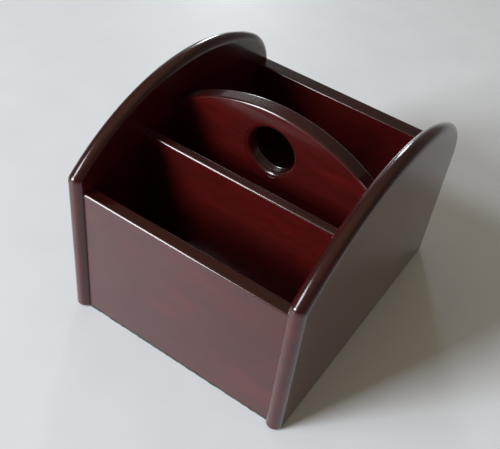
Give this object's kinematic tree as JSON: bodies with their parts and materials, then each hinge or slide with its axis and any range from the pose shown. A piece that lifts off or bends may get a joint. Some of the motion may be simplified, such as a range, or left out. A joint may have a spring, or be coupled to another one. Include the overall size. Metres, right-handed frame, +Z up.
{
  "type": "pen stand with drawer",
  "caption": "Lacquered wooden pen stand: open compartments between arched side panels, split by a straight and an arched divider with a finger hole, over a shallow drawer at the rear.",
  "frame": {"origin": "middle of the footprint, on the surface that the felt rests on", "axes": "+Z up, +Y from the low front panel to the rear where the drawer opens, +X to the right seen from the front"},
  "size_m": [0.145, 0.18, 0.132],
  "materials": {
    "mahogany_lacquer": "gloss lacquer",
    "stained_board": "satin stain",
    "beech_dowel": "plain",
    "steel_brad": "plain",
    "green_felt": "felt"
  },
  "bodies": {
    "case": {"left_side_panel": "mahogany_lacquer", "right_side_panel": "mahogany_lacquer", "front_panel": "mahogany_lacquer", "front_divider": "mahogany_lacquer", "arched_divider": "mahogany_lacquer", "rear_panel": "mahogany_lacquer", "base_board": "mahogany_lacquer", "compartment_floor": "mahogany_lacquer", "felt_base_pad": "green_felt", "drawer_stop_batten": "stained_board", "front_panel_dowels": "beech_dowel", "front_divider_dowels": "beech_dowel", "arched_divider_dowels": "beech_dowel", "rear_panel_dowels": "beech_dowel"},
    "drawer": {"drawer_front": "mahogany_lacquer", "drawer_left_side": "stained_board", "drawer_right_side": "stained_board", "drawer_back": "stained_board", "drawer_bottom": "stained_board", "drawer_dowels": "beech_dowel", "drawer_brads": "steel_brad"}
  },
  "joints": [
    {"name": "drawer_slide", "type": "slide", "parent": "case", "child": "drawer", "axis": [0, 1, 0], "range_m": [0, 0.12]}
  ]
}
